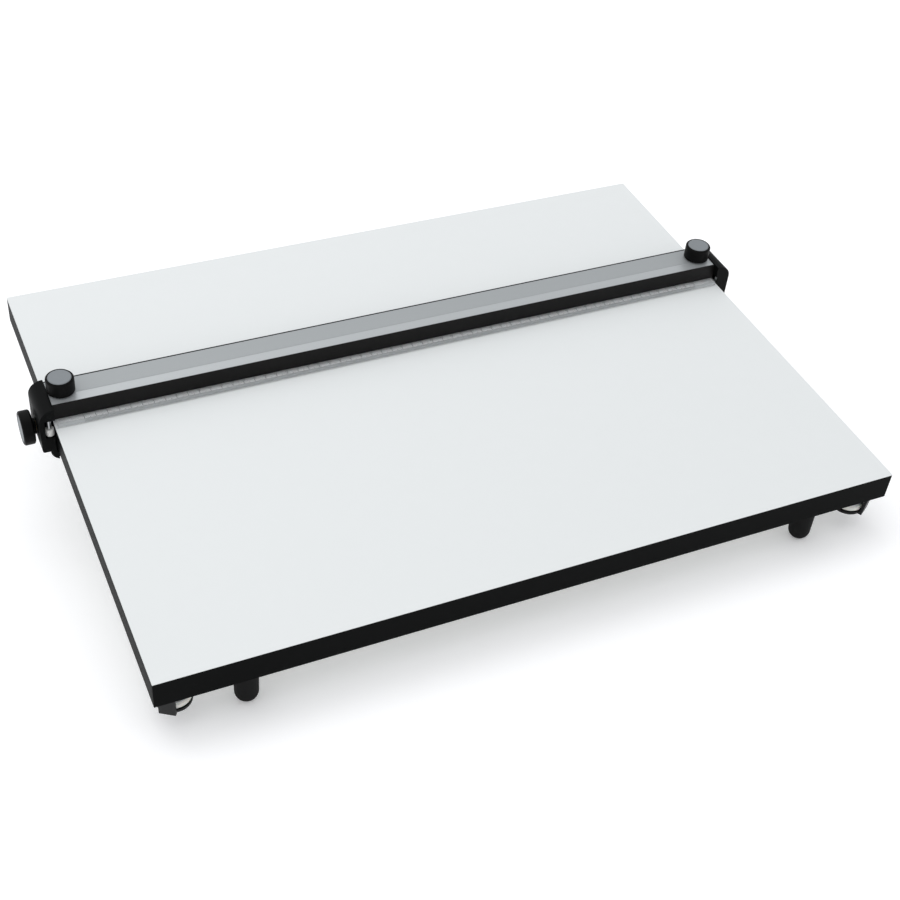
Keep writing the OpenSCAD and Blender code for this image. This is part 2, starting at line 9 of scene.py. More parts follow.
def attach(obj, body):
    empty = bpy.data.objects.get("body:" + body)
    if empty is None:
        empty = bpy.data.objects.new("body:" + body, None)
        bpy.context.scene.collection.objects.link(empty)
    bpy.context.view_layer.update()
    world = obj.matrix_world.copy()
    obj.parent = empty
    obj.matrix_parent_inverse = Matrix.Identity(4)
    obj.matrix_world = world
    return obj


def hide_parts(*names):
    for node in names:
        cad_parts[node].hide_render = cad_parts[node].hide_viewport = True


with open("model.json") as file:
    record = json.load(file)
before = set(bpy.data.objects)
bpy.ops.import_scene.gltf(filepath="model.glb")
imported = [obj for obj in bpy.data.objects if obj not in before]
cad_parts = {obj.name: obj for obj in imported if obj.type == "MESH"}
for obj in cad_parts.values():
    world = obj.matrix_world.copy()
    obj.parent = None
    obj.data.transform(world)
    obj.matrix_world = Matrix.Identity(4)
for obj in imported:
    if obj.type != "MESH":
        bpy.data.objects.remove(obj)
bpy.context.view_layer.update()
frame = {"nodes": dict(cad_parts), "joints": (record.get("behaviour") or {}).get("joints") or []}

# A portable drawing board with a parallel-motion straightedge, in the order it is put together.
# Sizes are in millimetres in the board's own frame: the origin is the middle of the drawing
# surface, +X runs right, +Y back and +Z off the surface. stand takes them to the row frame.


# ---------- how the board stands ----------
# The board is tipped up at the back, and the straightedge slides straight up its surface, so the
# slide's axis gives the tilt, and the top sheet's middle gives the place.

slide = next(j for j in frame["joints"] if j["name"] == "straightedge_slide")
tilt = Matrix.Rotation(math.atan2(slide["axis"][2], slide["axis"][1]), 4, "X")


def reach(points):
    """Lowest and highest corner of the points."""
    return (Vector(map(min, zip(*points))), Vector(map(max, zip(*points))))


sheet_low, sheet_high = reach(
    [tilt.inverted() @ v.co for v in frame["nodes"]["top_laminate"].data.vertices])
surface_middle = Vector(((sheet_low.x + sheet_high.x) / 2, (sheet_low.y + sheet_high.y) / 2,
                         sheet_high.z))
stand = tilt @ Matrix.Translation(surface_middle) @ Matrix.Scale(0.001, 4)


def span(node):
    """Lowest and highest corner of a CAD node in the board's own frame, in millimetres."""
    return reach([stand.inverted() @ v.co for v in frame["nodes"][node].data.vertices])


def middle_of(node):
    """The middle of a CAD node's box in the board's own frame, in millimetres."""
    low, high = span(node)
    return (low + high) / 2


# ---------- camera, table and light ----------
# A small product studio: a white table lit from below to thin the shadow, a large soft box
# overhead and a weak one on the left, seen from above the front left corner.

CAMERA_PLACE = Vector((-466.5, -912.5, 851.7))
CAMERA_AZIMUTH = 24.51   # degrees to the right of straight back
CAMERA_DROP = 32.61      # degrees below level
LENS = 59.95             # on a sensor 36 mm wide
camera = bpy.data.objects.new("camera", bpy.data.cameras.new("camera"))
camera.data.lens = LENS
camera.data.sensor_width = 36
bpy.context.scene.collection.objects.link(camera)
azimuth, drop = math.radians(CAMERA_AZIMUTH), math.radians(CAMERA_DROP)
ahead = Vector((math.sin(azimuth) * math.cos(drop), math.cos(azimuth) * math.cos(drop),
                -math.sin(drop)))
camera.location = stand @ CAMERA_PLACE
camera.rotation_euler = ahead.to_track_quat("-Z", "Y").to_euler()
bpy.context.scene.camera = camera


def add(tree, kind, inputs=None, links=None, **settings):
    """Adds a node with its settings, the values of its inputs, and links from other sockets."""
    node = tree.nodes.new(kind)
    for name, value in settings.items():
        setattr(node, name, value)
    for name, value in (inputs or {}).items():
        node.inputs[name].default_value = value
    for name, socket in (links or {}).items():
        tree.links.new(socket, node.inputs[name])
    return node


def linear(hex_colour):
    """An sRGB hex colour such as "8a9096" as linear red, green, blue and full alpha."""
    parts = [int(hex_colour[i:i + 2], 16) / 255 for i in (0, 2, 4)]
    return [p / 12.92 if p <= 0.04045 else ((p + 0.055) / 1.055) ** 2.4 for p in parts] + [1]


world = bpy.data.worlds.new("studio")
world.use_nodes = True
world.node_tree.nodes["Background"].inputs["Color"].default_value = linear("fbfcff")
world.node_tree.nodes["Background"].inputs["Strength"].default_value = 0.86
bpy.context.scene.world = world
bpy.context.scene.view_settings.view_transform = "Standard"


def soft_box(name, place, size, power):
    """A square area light, in metres and watts, that faces the middle of the board."""
    light = bpy.data.lights.new(name, "AREA")
    light.size = size
    light.energy = power
    lamp = bpy.data.objects.new(name, light)
    lamp.location = place
    lamp.rotation_euler = (stand @ Vector((0, 0, 0)) - lamp.location).to_track_quat(
        "-Z", "Y").to_euler()
    bpy.context.scene.collection.objects.link(lamp)


soft_box("overhead_box", Vector((-0.3, 0.5, 2.3)), size=2.2, power=13)
soft_box("left_box", Vector((-2.2, -0.2, 1.2)), size=1.2, power=2.5)

SWEEP_HALF = 40    # metres, so wide that from a low place its end lies close to the horizon
sweep = bpy.data.meshes.new("table_sweep")
sweep.from_pydata([(-SWEEP_HALF, -SWEEP_HALF, 0), (SWEEP_HALF, -SWEEP_HALF, 0),
                   (SWEEP_HALF, SWEEP_HALF, 0), (-SWEEP_HALF, SWEEP_HALF, 0)], [], [(0, 1, 2, 3)])
table = bpy.data.objects.new("table_sweep", sweep)
bpy.context.scene.collection.objects.link(table)
table_top = bpy.data.materials.new("back_lit_white_table")
table_top.use_nodes = True
table_shader = table_top.node_tree.nodes["Principled BSDF"]
for name, value in {"Base Color": linear("fafafa"), "Roughness": 0.9,
                    "Emission Color": linear("ffffff"), "Emission Strength": 0.2}.items():
    table_shader.inputs[name].default_value = value
sweep.materials.append(table_top)


# ---------- board core and its sheets ----------
# Chipboard pressed between a white melamine sheet, on which one draws, and a plain backing sheet.
# The sheets are glued on and trimmed flush, so their edges are only just broken.

def rounded(corners, steps=4):
    """An outline of (a, b, radius) corners, each with a radius turned by an arc of steps."""
    outline = []
    for i, (a, b, radius) in enumerate(corners):
        here = Vector((a, b))
        if not radius:
            outline.append(here)
            continue
        back = (Vector(corners[i - 1][:2]) - here).normalized()
        on = (Vector(corners[(i + 1) % len(corners)][:2]) - here).normalized()
        half = back.angle(on) / 2
        centre = here + (back + on).normalized() * (radius / math.sin(half))
        start = here + back * (radius / math.tan(half)) - centre
        turn = (math.pi - 2 * half) * (1 if back.x * on.y - back.y * on.x < 0 else -1)
        for k in range(steps + 1):
            outline.append(centre + Matrix.Rotation(turn * k / steps, 2) @ start)
    return outline


PATCH = 30    # a surface's broad patches are this many grains across


def surface(name, tone, rough, metal=0.0, grain=1.0, stretch=(1, 1, 1), tone_spread=0.06,
            rough_spread=0.08, bump=0.1, height=0.02, **sockets):
    """A material whose tone, roughness and height vary with a grain in millimetres."""
    made = bpy.data.materials.new(name)
    made.use_nodes = True
    tree = made.node_tree
    shader = tree.nodes["Principled BSDF"]
    for socket, value in {"Metallic": metal, **sockets}.items():
        shader.inputs[socket].default_value = value
    place = add(tree, "ShaderNodeTexCoord")
    laid = add(tree, "ShaderNodeMapping", {"Scale": stretch}, {"Vector": place.outputs["Object"]})
    fine = add(tree, "ShaderNodeTexNoise", {"Scale": 1000 / grain, "Detail": 3.0},
               {"Vector": laid.outputs["Vector"]})
    broad = add(tree, "ShaderNodeTexNoise", {"Scale": 1000 / (grain * PATCH), "Detail": 4.0},
                {"Vector": laid.outputs["Vector"]})
    both = add(tree, "ShaderNodeMath", {1: 0.5}, {0: fine.outputs["Fac"]}, operation="MULTIPLY")
    mixed = add(tree, "ShaderNodeMath", {1: 0.5}, {0: broad.outputs["Fac"], 2: both.outputs[0]},
                operation="MULTIPLY_ADD")
    dark = [c * (1 - tone_spread) for c in linear(tone)[:3]] + [1]
    light = [min(1, c * (1 + tone_spread)) for c in linear(tone)[:3]] + [1]
    shade = add(tree, "ShaderNodeMix", {6: dark, 7: light}, {0: mixed.outputs[0]},
                data_type="RGBA")
    tree.links.new(shade.outputs[2], shader.inputs["Base Color"])
    rub = add(tree, "ShaderNodeMapRange", {"To Min": rough - rough_spread,
              "To Max": rough + rough_spread}, {"Value": mixed.outputs[0]})
    tree.links.new(rub.outputs[0], shader.inputs["Roughness"])
    relief = add(tree, "ShaderNodeBump", {"Strength": bump, "Distance": height / 1000},
                 {"Height": fine.outputs["Fac"]})
    tree.links.new(relief.outputs["Normal"], shader.inputs["Normal"])
    return made


MERGE = 1e-4          # corners closer than this, in millimetres, are one corner
BROKEN_FROM = 40      # degrees; a blunter edge is left as it is
SHARP_FROM = 35       # degrees; a blunter edge is shaded smooth


def finished(name, bm, material, body, slot, *nodes, place=None, edge=0.0):
    """Puts a bmesh piece in its place, breaks its edges, and hides the CAD nodes it stands for."""
    bmesh.ops.remove_doubles(bm, verts=bm.verts, dist=MERGE)
    bmesh.ops.recalc_face_normals(bm, faces=bm.faces)
    mesh = bpy.data.meshes.new(name)
    bm.to_mesh(mesh)
    bm.free()
    mesh.transform(stand @ (place or Matrix.Identity(4)))
    mesh.shade_smooth()
    mesh.materials.append(material)
    piece = bpy.data.objects.new(name, mesh)
    bpy.context.scene.collection.objects.link(piece)
    if edge:
        bevel = piece.modifiers.new("broken_edges", "BEVEL")
        bevel.width = edge / 1000
        bevel.segments = 2
        bevel.angle_limit = math.radians(BROKEN_FROM)
    piece.modifiers.new("flat_faces", "WEIGHTED_NORMAL").keep_sharp = True
    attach(piece, body)
    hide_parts(*nodes)
    return piece


def dressed(material, *nodes):
    """Gives CAD nodes whose shape is right their material."""
    for node in nodes:
        mesh = frame["nodes"][node].data
        mesh.materials.clear()
        mesh.materials.append(material)
        mesh.shade_smooth()
        mesh.set_sharp_from_angle(angle=math.radians(SHARP_FROM))


def slab(low, high):
    """A box from one corner to the opposite one."""
    bm = bmesh.new()
    bmesh.ops.create_cube(bm)
    for v in bm.verts:
        v.co = [low[i] if v.co[i] < 0 else high[i] for i in range(3)]
    return bm


# melamine face: matt, close to white, with a fine pebble pressed in at about 0.5 mm
white_melamine = surface("pebbled_white_melamine", "e4e7e6", 0.46, grain=0.5, tone_spread=0.015,
                         rough_spread=0.05, bump=0.12, height=0.02)
# backing sheet: the same paper and resin, greyer and smoother, with faint sanding lines
backing = surface("sanded_backing_sheet", "c3c5c2", 0.55, grain=0.8, stretch=(0.05, 1, 1),
                  tone_spread=0.05, bump=0.1)
# chipboard: pale brown chips of about 2 mm, open and rough
chips = surface("pressed_chipboard", "b08f6a", 0.9, grain=2, tone_spread=0.35, bump=0.5,
                height=0.2)

SHEET_EDGE = 0.2    # width of the broken edge
finished("drawing_surface_sheet", slab(*span("top_laminate")), white_melamine, "board",
         "white_laminate", "top_laminate", edge=SHEET_EDGE)
finished("backing_sheet", slab(*span("bottom_laminate")), backing, "board", "backing_laminate",
         "bottom_laminate", edge=SHEET_EDGE)
dressed(chips, "board_core")


# ---------- edging ----------
# Strips of black ABS, extruded flat, hot-glued round the core and trimmed to the sheets. The
# long strips cover the ends of the short ones.

# ABS strip: near black and satin, with die lines that run along it
black_abs = surface("extruded_black_abs", "0a0b0b", 0.5, grain=0.6, stretch=(0.04, 0.04, 1),
                    tone_spread=0.12, rough_spread=0.06, bump=0.08,
                    **{"Specular IOR Level": 0.03})
for edge in ("front", "back", "left", "right"):
    finished(edge + "_edging_strip", slab(*span(edge + "_edging")), black_abs, "board",
             "black_edging", edge + "_edging", edge=0.35)


# ---------- front feet ----------
# Solid rubber feet, moulded round a headed stud that screws up into the board. A groove runs
# round each near the top, and the weight presses a small flat on its dome.

def turned(profile, sides=72):
    """A closed shape turned about Z from (radius, height) points, ends on or off the axis."""
    bm = bmesh.new()
    ring = [bm.verts.new((r, 0, z)) for r, z in profile]
    wire = [bm.edges.new(pair) for pair in zip(ring, ring[1:])]
    bmesh.ops.spin(bm, geom=ring + wire, cent=(0, 0, 0), axis=(0, 0, 1), angle=2 * math.pi,
                   steps=sides, use_merge=True)
    bmesh.ops.remove_doubles(bm, verts=bm.verts, dist=MERGE)
    return bm


# natural rubber with carbon black: matt, slightly dusty, with a fine moulded grain
rubber = surface("moulded_black_rubber", "101010", 0.75, grain=0.4, tone_spread=0.3, bump=0.2,
                 height=0.03, **{"Specular IOR Level": 0.15})
DOME_STEPS = 18
GROOVE_TOP, GROOVE_FOOT = 2.0, 3.4    # the groove's two edges, down from the top
GROOVE_DEPTH = 0.6
GROOVE_SLOPE = 0.4                    # height of each of its sloped sides
LIP_RADIUS, FLOOR_RADIUS, TOP_RADIUS = 0.3, 0.2, 0.4
for hand in ("left", "right"):
    low, high = span(hand + "_foot")
    middle = (low + high) / 2
    foot_r = (high.x - low.x) / 2
    floor_r = foot_r - GROOVE_DEPTH
    dome_z = low.z + foot_r
    dome = [(foot_r * math.sin(a), dome_z - foot_r * math.cos(a))
            for a in (math.radians(90 * k / DOME_STEPS) for k in range(DOME_STEPS + 1))]
    shank = rounded([(foot_r, dome_z, 0),
                     (foot_r, high.z - GROOVE_FOOT, LIP_RADIUS),
                     (floor_r, high.z - GROOVE_FOOT + GROOVE_SLOPE, FLOOR_RADIUS),
                     (floor_r, high.z - GROOVE_TOP - GROOVE_SLOPE, FLOOR_RADIUS),
                     (foot_r, high.z - GROOVE_TOP, LIP_RADIUS),
                     (foot_r, high.z, TOP_RADIUS), (0, high.z, 0)])
    foot = finished(hand + "_rubber_foot", turned(dome + [tuple(p) for p in shank[1:]]), rubber,
                    "board", "black_rubber", hand + "_foot",
                    place=Matrix.Translation((middle.x, middle.y, 0)))
    for v in foot.data.vertices:
        v.co.z = max(v.co.z, 0)


# ---------- pulley brackets ----------
# Each is bent from 2.5 mm steel strip, powder coated, and screwed under a corner of the board.
# The lower plate is rounded to follow the pulley that it carries.

WELD = 0.002      # millimetres; corners of a CAD node's triangles this close are joined
FLAT_WITHIN = 1   # degrees; triangles that turn less than this are one flat face


def welded(node):
    """A CAD node's triangles in the board's own frame, joined at their corners."""
    bm = bmesh.new()
    bm.from_mesh(frame["nodes"][node].data)
    bm.transform(stand.inverted())
    bmesh.ops.remove_doubles(bm, verts=bm.verts, dist=WELD)
    return bm


def copied(node):
    """A CAD node's solid in the board's own frame, its triangles merged into whole faces."""
    bm = welded(node)
    bmesh.ops.dissolve_limit(bm, angle_limit=math.radians(FLAT_WITHIN), verts=bm.verts,
                             edges=bm.edges)
    return bm


# powder coat: satin black, with an orange peel drawn at 1.5 mm so that it shows
powder_coat = surface("black_powder_coat", "0f1011", 0.45, grain=1.5, tone_spread=0.15, bump=0.25,
                      height=0.05, **{"Specular IOR Level": 0.2})
CORNERS = ("front_left", "front_right", "back_left", "back_right")
for corner in CORNERS:
    finished(corner + "_bracket_plate", copied(corner + "_bracket"), powder_coat, "board",
             "black_painted_steel", corner + "_bracket", edge=0.4)


# ---------- wood screws ----------
# Zinc-plated pan heads with a cross recess: two hold each pulley bracket and four each leg
# bracket. The tree makes one screw and sets it, turned at random, on every seat.

def socket(tree, name, value, kind="NodeSocketFloat"):
    """Adds a named input to a geometry tree, with its usual value."""
    made = tree.interface.new_socket(name, in_out="INPUT", socket_type=kind)
    if value is not None:
        made.default_value = value


def new_tree(name, **sizes):
    """A geometry tree with a base mesh and a material as inputs, and a size for each name."""
    tree = bpy.data.node_groups.new(name, "GeometryNodeTree")
    socket(tree, "Base", None, "NodeSocketGeometry")
    socket(tree, "Material", None, "NodeSocketMaterial")
    for size, value in sizes.items():
        socket(tree, size, value, "NodeSocketInt" if isinstance(value, int) else "NodeSocketFloat")
    tree.interface.new_socket("Mesh", in_out="OUTPUT", socket_type="NodeSocketGeometry")
    return tree, add(tree, "NodeGroupInput").outputs


def closed_tree(tree, made, given):
    """Ends a geometry tree: instances made real, given their material and put out."""
    real = add(tree, "GeometryNodeRealizeInstances", links={0: made})
    painted = add(tree, "GeometryNodeSetMaterial", links={"Geometry": real.outputs[0],
                  "Material": given["Material"]})
    add(tree, "NodeGroupOutput", links={0: painted.outputs[0]})


def grown(tree, base, material, **sizes):
    """Runs a geometry tree on a base mesh and returns what it makes as a bmesh."""
    holder = bpy.data.objects.new(tree.name, base)
    bpy.context.scene.collection.objects.link(holder)
    modifier = holder.modifiers.new(tree.name, "NODES")
    modifier.node_group = tree
    for item in tree.interface.items_tree:
        if item.name == "Material":
            modifier[item.identifier] = material
        elif item.name in sizes:
            modifier[item.identifier] = sizes[item.name]
    shown = holder.evaluated_get(bpy.context.evaluated_depsgraph_get())
    mesh = bpy.data.meshes.new_from_object(shown)
    bm = bmesh.new()
    bm.from_mesh(mesh)
    bpy.data.objects.remove(holder)
    return bm


def math_node(tree, operation, *values):
    """One step of arithmetic on sockets and numbers."""
    node = add(tree, "ShaderNodeMath", operation=operation)
    for i, value in enumerate(values):
        if isinstance(value, (int, float)):
            node.inputs[i].default_value = value
        else:
            tree.links.new(value, node.inputs[i])
    return node.outputs[0]


def vector_node(tree, **parts):
    """A vector put together from the sockets X, Y and Z that are given."""
    return add(tree, "ShaderNodeCombineXYZ", links=parts).outputs[0]


CROSS_ARM = 0.26     # width of the recess's arms, as a part of their length
CROSS_DEPTH = 1.05   # from the seat to the middle of the arms' cutters, in head heights
SHANK_TAPER = 0.7    # radius at the point, as a part of the shank's
ABOVE = 20           # side of a block that cuts off everything above the seat
screw_tree, given = new_tree("cross_head_screws", head_radius=3.0, head_height=1.8,
                             shank_radius=1.6, shank_length=13.0, recess=1.9)
# the head is the lower half of a flattened ball
ball = add(screw_tree, "GeometryNodeMeshUVSphere", {"Segments": 32, "Rings": 16, "Radius": 1.0})
head_size = vector_node(screw_tree, X=given["head_radius"], Y=given["head_radius"],
                        Z=given["head_height"])
head = add(screw_tree, "GeometryNodeTransform",
           links={"Geometry": ball.outputs["Mesh"], "Scale": head_size})
arm_width = math_node(screw_tree, "MULTIPLY", given["recess"], CROSS_ARM)
arm_size = vector_node(screw_tree, X=given["recess"], Y=arm_width, Z=given["head_height"])
arm_place = vector_node(screw_tree, Z=math_node(
    screw_tree, "MULTIPLY", given["head_height"], -CROSS_DEPTH))
cutters = []
for turn in (0, math.pi / 2):
    arm = add(screw_tree, "GeometryNodeMeshCube", links={"Size": arm_size})
    cutters.append(add(screw_tree, "GeometryNodeTransform", {"Rotation": (0, 0, turn)}, {
        "Geometry": arm.outputs["Mesh"], "Translation": arm_place}))
above = add(screw_tree, "GeometryNodeMeshCube", {"Size": (ABOVE, ABOVE, ABOVE)})
cutters.append(add(screw_tree, "GeometryNodeTransform", {"Translation": (0, 0, ABOVE / 2)},
                   {"Geometry": above.outputs["Mesh"]}))
cut = add(screw_tree, "GeometryNodeMeshBoolean", operation="DIFFERENCE", solver="EXACT")
screw_tree.links.new(head.outputs[0], cut.inputs["Mesh 1"])
for cutter in cutters:
    screw_tree.links.new(cutter.outputs[0], cut.inputs["Mesh 2"])
shank = add(screw_tree, "GeometryNodeMeshCone", {"Vertices": 24}, {
    "Radius Bottom": given["shank_radius"], "Depth": given["shank_length"],
    "Radius Top": math_node(screw_tree, "MULTIPLY", given["shank_radius"], SHANK_TAPER)})
one_screw = add(screw_tree, "GeometryNodeJoinGeometry")
for part in (cut.outputs["Mesh"], shank.outputs["Mesh"]):
    screw_tree.links.new(part, one_screw.inputs[0])
spin = add(screw_tree, "FunctionNodeRandomValue", data_type="FLOAT_VECTOR")
spin.inputs[1].default_value = (0, 0, math.pi)
spin.inputs["Seed"].default_value = 7
screws = add(screw_tree, "GeometryNodeInstanceOnPoints", links={
    "Points": given["Base"], "Instance": one_screw.outputs[0], "Rotation": spin.outputs[0]})
closed_tree(screw_tree, screws.outputs[0], given)


def point_mesh(places):
    """A mesh of loose points."""
    mesh = bpy.data.meshes.new("places")
    mesh.from_pydata([tuple(p) for p in places], [], [])
    return mesh


def shells(node):
    """The box of each separate solid of a CAD node, in the board's own frame."""
    bm = welded(node)
    unseen = set(bm.verts)
    boxes = []
    while unseen:
        found, waiting = set(), [unseen.pop()]
        while waiting:
            vert = waiting.pop()
            found.add(vert)
            for other in (e.other_vert(vert) for e in vert.link_edges):
                if other in unseen:
                    unseen.discard(other)
                    waiting.append(other)
        boxes.append(reach([v.co for v in found]))
    bm.free()
    return sorted(boxes, key=lambda box: tuple(box[0]))


# zinc plate: bright and slightly blue, with a fine turned grain
zinc = surface("bright_zinc_plate", "c4c6c7", 0.32, metal=1.0, grain=0.8, tone_spread=0.1,
               bump=0.01, height=0.01)
RECESS = 1.2    # length of the cross recess, in shank radii
for node, plate, plate_thick, shank_radius in (
        ("bracket_screws", "front_left_bracket", 2.5, 1.6),
        ("leg_bracket_screws", "left_leg_bracket", 2.0, 1.8)):
    seat = span(plate)[1].z - plate_thick
    boxes = shells(node)
    low, high = boxes[0]
    seats = [((a.x + b.x) / 2, (a.y + b.y) / 2, seat) for a, b in boxes]
    made = grown(screw_tree, point_mesh(seats), zinc, head_radius=(high.x - low.x) / 2,
                 head_height=seat - low.z, shank_radius=shank_radius, shank_length=high.z - seat,
                 recess=RECESS * shank_radius)
    finished("cross_head_" + node, made, zinc, "board", "plated_steel", node)


# ---------- pulleys, axles and washers ----------
# A grooved nylon pulley turns on a slotted shoulder screw under each corner, between two thin
# nylon washers. Five holes lighten it.

# natural nylon: milky, a little translucent, with faint turning lines
natural_nylon = surface("turned_natural_nylon", "d3d3cd", 0.35, grain=0.8, tone_spread=0.05,
                        bump=0.06, **{"Subsurface Weight": 0.1, "Subsurface Scale": 0.001})
# white nylon: as moulded, smoother and whiter
white_nylon = surface("moulded_white_nylon", "e6e6e2", 0.4, grain=1.2, tone_spread=0.03, bump=0.05)
for corner in CORNERS:
    finished(corner + "_grooved_pulley", copied(corner + "_pulley"), natural_nylon,
             corner + "_wheel", "natural_nylon", corner + "_pulley", edge=0.25)
dressed(zinc, "pulley_axles", "foot_studs", "scale_screws")
dressed(white_nylon, "pulley_washers")


# ---------- wire rope ----------
# One closed loop of steel rope, six strands laid round a core. It runs down each side and
# crosses over underneath, so that both ends of the straightedge move together.

ROPE_RADIUS = 0.6
CROSSING_BOW = 0.8    # at the crossing, one run is bowed up and the other down by this much
pulley_mid = middle_of("back_right_pulley")
loop_r = span("wire_rope")[1].x - ROPE_RADIUS - pulley_mid.x
rope_z = pulley_mid.z
# angle between the crossing runs and the X axis, in plan
lean = math.atan2(pulley_mid.y, pulley_mid.x) + math.asin(loop_r / pulley_mid.xy.length)


def round_pulley(sx, sy, start, end, steps=30):
    """Points of the rope round one pulley, from one angle to another."""
    return [(sx * pulley_mid.x + loop_r * math.cos(start + (end - start) * k / steps),
             sy * pulley_mid.y + loop_r * math.sin(start + (end - start) * k / steps), rope_z)
            for k in range(steps + 1)]


quarter = math.pi / 2
route = (round_pulley(-1, -1, 2 * quarter, 3 * quarter + lean) + [(0, 0, rope_z + CROSSING_BOW)]
         + round_pulley(1, 1, quarter + lean, 0) + round_pulley(1, -1, 0, -quarter - lean)
         + [(0, 0, rope_z - CROSSING_BOW)] + round_pulley(-1, 1, quarter - lean, 2 * quarter))
loop = bpy.data.meshes.new("rope_route")
loop.from_pydata(route, [(i, (i + 1) % len(route)) for i in range(len(route))], [])

STRANDS = 6
POINTS_A_STRAND = 3   # of the rope's outline; the first lies in the hollow beside the strand
HOLLOW = 0.28         # depth of that hollow, as a part of the rope's radius


def each_nth(tree, number, every):
    """True for the first of every so many counted things, whose remainder is close to 0."""
    return math_node(tree, "COMPARE", math_node(tree, "MODULO", number, every), 0, 0.1)


rope_tree, given = new_tree("laid_wire_rope", rope_radius=ROPE_RADIUS, lay=7.0, ring_gap=0.9)
line = add(rope_tree, "GeometryNodeMeshToCurve", links={"Mesh": given["Base"]})
evened = add(rope_tree, "GeometryNodeResampleCurve", mode="LENGTH", links={
    "Curve": line.outputs[0], "Length": given["ring_gap"]})
along = add(rope_tree, "GeometryNodeSplineParameter")
twist = math_node(rope_tree, "MULTIPLY", math_node(
    rope_tree, "DIVIDE", along.outputs["Length"], given["lay"]), 2 * math.pi)
tilted = add(rope_tree, "GeometryNodeSetCurveTilt", links={
    "Curve": evened.outputs[0], "Tilt": twist})
ring = add(rope_tree, "GeometryNodeCurvePrimitiveCircle", {"Resolution": STRANDS * POINTS_A_STRAND},
           {"Radius": given["rope_radius"]})
hollow = each_nth(rope_tree, add(rope_tree, "GeometryNodeInputIndex").outputs[0], POINTS_A_STRAND)
shrink = math_node(rope_tree, "SUBTRACT", 1, math_node(rope_tree, "MULTIPLY", hollow, HOLLOW))
spot = add(rope_tree, "GeometryNodeInputPosition")
shrunk = add(rope_tree, "ShaderNodeVectorMath", operation="SCALE",
             links={0: spot.outputs[0], "Scale": shrink})
lobed = add(rope_tree, "GeometryNodeSetPosition", links={
    "Geometry": ring.outputs["Curve"], "Position": shrunk.outputs[0]})
swept = add(rope_tree, "GeometryNodeCurveToMesh", links={
    "Curve": tilted.outputs[0], "Profile Curve": lobed.outputs[0]})
closed_tree(rope_tree, swept.outputs[0], given)

# steel rope: bright drawn wire, a little dulled by handling
rope_steel = surface("laid_steel_rope", "a9abac", 0.33, metal=1.0, grain=0.5, tone_spread=0.2,
                     bump=0.03)
finished("laid_wire_rope", grown(rope_tree, loop, rope_steel), rope_steel, "board", "steel_wire",
         "wire_rope")


# ---------- rear legs ----------
# Tubular steel legs, powder coated, that fold in on riveted pins. A heel on each eye stops it
# against its bracket, and a rubber tip grips the table.

for hand in ("left", "right"):
    finished(hand + "_leg_bracket_plate", copied(hand + "_leg_bracket"), powder_coat, "board",
             "black_painted_steel", hand + "_leg_bracket", edge=0.35)
    finished(hand + "_leg_tube", copied(hand + "_leg"), powder_coat, hand + "_stand_leg",
             "black_painted_steel", hand + "_leg", edge=0.5)
    finished(hand + "_leg_ferrule", copied(hand + "_leg_tip"), rubber, hand + "_stand_leg",
             "black_rubber", hand + "_leg_tip", edge=0.9)
dressed(zinc, "leg_pivot_pins")


# ---------- straightedge ----------
# A black anodised aluminium channel with a flange below that carries the clear scale. A grey
# anodised strip is let into its top between two lips, its front third sloped and scored off.

# black anodised: deep satin black, drawn lengthwise with lines at 1.2 mm so that they show
black_anodised = surface("black_anodised_aluminium", "0f0e0e", 0.42, grain=1.2,
                         stretch=(0.01, 1, 1), tone_spread=0.2, rough_spread=0.06, bump=0.08,
                         **{"Specular IOR Level": 0.15})
# grey anodised: satin mid grey with the same lengthwise lines
grey_anodised = surface("grey_anodised_aluminium", "a2a6a7", 0.5, metal=0.4, grain=1.2,
                        stretch=(0.01, 1, 1), tone_spread=0.04, rough_spread=0.05, bump=0.06)
finished("straightedge_channel", copied("rule_body"), black_anodised, "straightedge",
         "black_anodised", "rule_body", edge=0.25)

cover = copied("rule_cover")
cover_low, cover_high = span("rule_cover")
SCORE_BACK = 10.5    # distance of the scored line from the strip's front edge
SCORE_HALF = 0.35    # half of its width
SCORE_DEPTH = 0.3
SLOPE_DROP = 0.45    # drop of the front third at its front edge
SAME = 0.01          # heights and distances this close are the same
for back in (SCORE_BACK - SCORE_HALF, SCORE_BACK, SCORE_BACK + SCORE_HALF):
    bmesh.ops.bisect_plane(cover, geom=cover.verts[:] + cover.edges[:] + cover.faces[:],
                           plane_co=(0, cover_low.y + back, 0), plane_no=(0, 1, 0))
for v in cover.verts:
    back = v.co.y - cover_low.y
    if v.co.z < cover_high.z - SAME:
        continue
    if abs(back - SCORE_BACK) < SAME:
        v.co.z -= SCORE_DEPTH
    elif back < SCORE_BACK:
        v.co.z -= SLOPE_DROP * (1 - back / SCORE_BACK)
cover.normal_update()
# the tops of the front third take the second material, painted paler: painted light
for face in cover.faces:
    if face.normal.z > 0.9 and face.calc_center_median().y < cover_low.y + SCORE_BACK:
        face.material_index = 1
cover_strip = finished("straightedge_cover_strip", cover, grey_anodised, "straightedge",
                       "grey_anodised", "rule_cover", edge=0.15)
# the front third is polished before it is anodised, so it is smoother; its paler colour is a
# painted highlight where the sloped face catches the light
cover_strip.data.materials.append(surface(
    "polished_grey_anodised_with_painted_light", "b1b5b6", 0.35, metal=0.4, grain=1.2,
    stretch=(0.01, 1, 1), tone_spread=0.03, rough_spread=0.04, bump=0.05))


# ---------- clear scale ----------
# A clear acrylic strip with a bevelled drawing edge, screwed up under the channel's flange. Its
# millimetre lines and centimetre numbers are engraved in the top and filled with ink.

